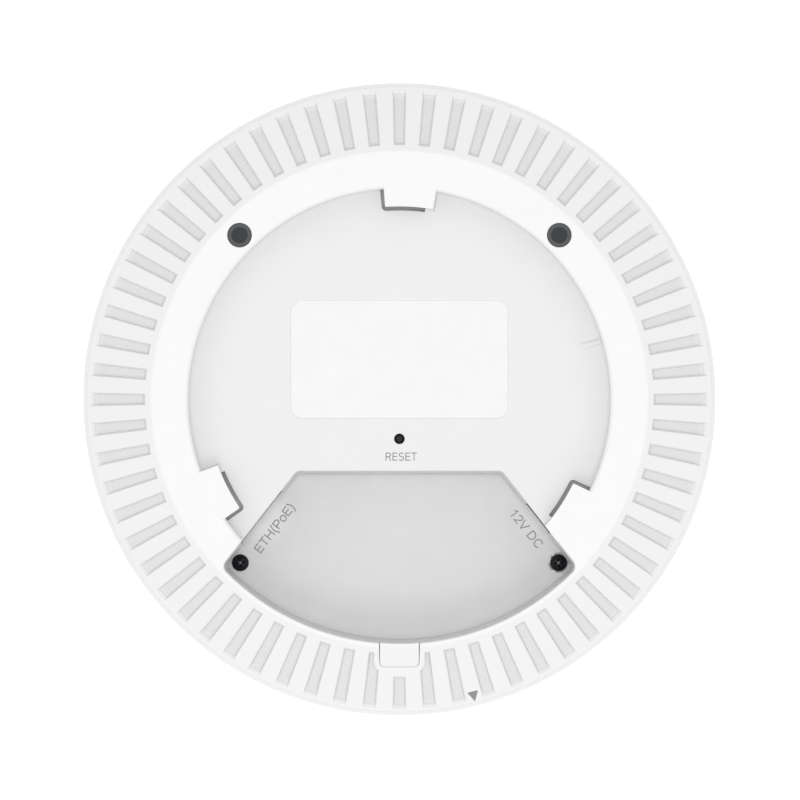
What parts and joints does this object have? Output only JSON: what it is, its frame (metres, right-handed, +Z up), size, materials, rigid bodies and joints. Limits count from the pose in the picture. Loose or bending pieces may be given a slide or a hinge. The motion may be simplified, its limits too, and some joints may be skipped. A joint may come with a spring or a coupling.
{
  "type": "ceiling wireless access point",
  "caption": "Round white ceiling access point: slotted back with a bayonet recess and a sunken port bay, shallow domed front, board, heat sink and antennas inside.",
  "frame": {"origin": "centre of the flat ring that meets the ceiling, on the ceiling plane", "axes": "+Z up into the ceiling, along the body axis; +Y away from the port bay; +X to the right when the back is seen with the port bay at the bottom"},
  "size_m": [0.16, 0.16, 0.0336],
  "materials": {
    "white_abs": "fine satin texture",
    "grey_abs": "matte",
    "label_film": "matte film",
    "dark_rubber": "matte",
    "black_steel": "black oxide",
    "zinc_steel": "zinc plated",
    "tinned_shell": "tinned sheet",
    "black_nylon": "matte",
    "gold_contact": "plated",
    "board_green": "solder mask",
    "chip_black": "moulded epoxy",
    "aluminium": "as cast",
    "thermal_pad": "matte",
    "ferrite": "matte",
    "antenna_tin": "tinned sheet",
    "capacitor_sleeve": "shrink sleeve",
    "clear_acrylic": "clear",
    "led_package": "moulded"
  },
  "bodies": {
    "housing": {"rear_cover": "white_abs", "front_cover": "white_abs", "port_bay": "grey_abs", "rating_label": "label_film", "bay_screw_left": "black_steel", "bay_screw_right": "black_steel", "cover_screw_left": "black_steel", "cover_screw_right": "black_steel", "board_screw_1": "zinc_steel", "board_screw_2": "zinc_steel", "board_screw_3": "zinc_steel", "board_screw_4": "zinc_steel", "sink_screw_1": "zinc_steel", "sink_screw_2": "zinc_steel", "sink_screw_3": "zinc_steel", "sink_screw_4": "zinc_steel", "reset_switch": "chip_black", "ethernet_jack_shell": "tinned_shell", "ethernet_jack_insert": "black_nylon", "ethernet_jack_contacts": "gold_contact", "dc_jack_body": "black_nylon", "dc_jack_pin": "gold_contact", "main_board": "board_green", "heat_sink": "aluminium", "soc_chip": "chip_black", "soc_thermal_pad": "thermal_pad", "ram_chip": "chip_black", "flash_chip": "chip_black", "wifi_chip_2g": "chip_black", "wifi_chip_5g": "chip_black", "shield_can_2g": "tinned_shell", "shield_can_5g": "tinned_shell", "ethernet_transformer": "chip_black", "poe_transformer": "ferrite", "power_inductor": "ferrite", "capacitor_1": "capacitor_sleeve", "capacitor_2": "capacitor_sleeve", "rectifier": "chip_black", "antenna_2g_1": "antenna_tin", "antenna_2g_2": "antenna_tin", "antenna_5g_1": "antenna_tin", "antenna_5g_2": "antenna_tin", "status_led": "led_package", "light_pipe": "clear_acrylic"},
    "reset": {"reset_button": "black_nylon"},
    "exit_cover": {"cable_exit_cover": "white_abs"},
    "plug_left": {"screw_plug_left": "dark_rubber"},
    "plug_right": {"screw_plug_right": "dark_rubber"}
  },
  "joints": [
    {"name": "reset_press", "type": "slide", "parent": "housing", "child": "reset", "axis": [0, 0, -1], "range_m": [0, 0.00025], "stiffness_N_per_m": 2000},
    {"name": "exit_cover_lift", "type": "slide", "parent": "housing", "child": "exit_cover", "axis": [0, 0, 1], "range_m": [0, 0.012]},
    {"name": "plug_left_pull", "type": "slide", "parent": "housing", "child": "plug_left", "axis": [0, 0, 1], "range_m": [0, 0.009]},
    {"name": "plug_right_pull", "type": "slide", "parent": "housing", "child": "plug_right", "axis": [0, 0, 1], "range_m": [0, 0.009]}
  ]
}
